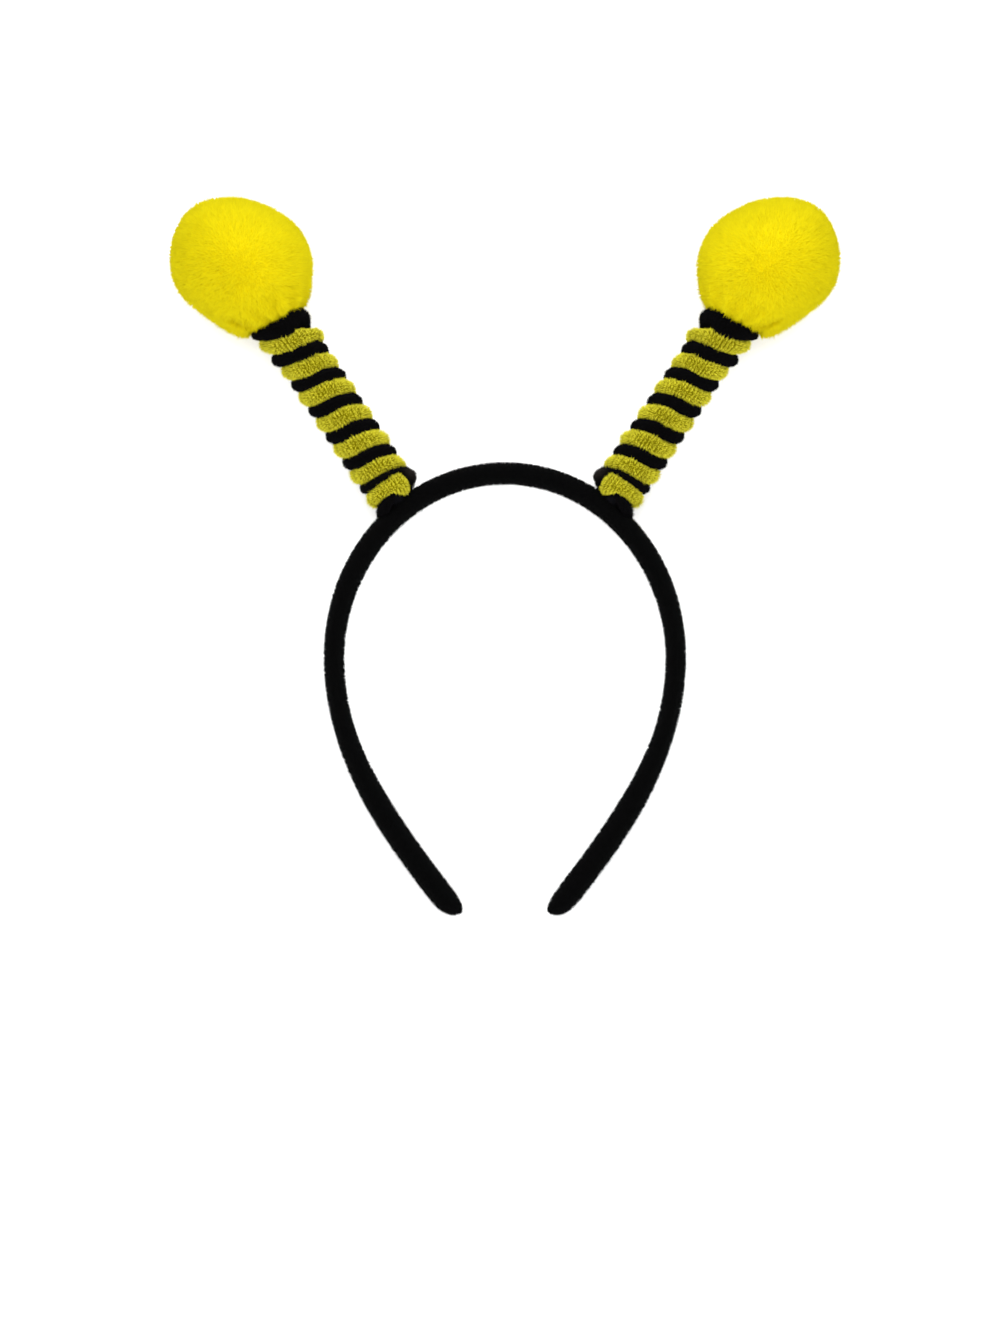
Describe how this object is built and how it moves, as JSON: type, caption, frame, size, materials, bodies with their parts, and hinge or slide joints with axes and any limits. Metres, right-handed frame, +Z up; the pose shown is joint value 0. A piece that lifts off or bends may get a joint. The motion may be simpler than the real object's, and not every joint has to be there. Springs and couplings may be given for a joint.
{
  "type": "bee antenna headband",
  "caption": "Padded black velour headband with antennae wound in black and yellow chenille and topped by yellow plush pompoms.",
  "frame": {"origin": "under the middle of the headband as it lies on its back, on the surface it rests on", "axes": "+X across the headband towards the right pompom, +Y from the band's tips to the pompoms, +Z up, away from the surface"},
  "size_m": [0.2316, 0.247, 0.048],
  "materials": {
    "velour": "black short pile",
    "black_chenille": "black pile wound on wire",
    "yellow_chenille": "yellow pile wound on wire",
    "plush": "yellow short plush",
    "core": "plain black"
  },
  "bodies": {
    "root": {"headband": "velour", "left_black_chenille": "black_chenille", "left_yellow_chenille": "yellow_chenille", "left_pompom": "plush", "left_post": "core", "right_black_chenille": "black_chenille", "right_yellow_chenille": "yellow_chenille", "right_pompom": "plush", "right_post": "core"}
  },
  "joints": []
}
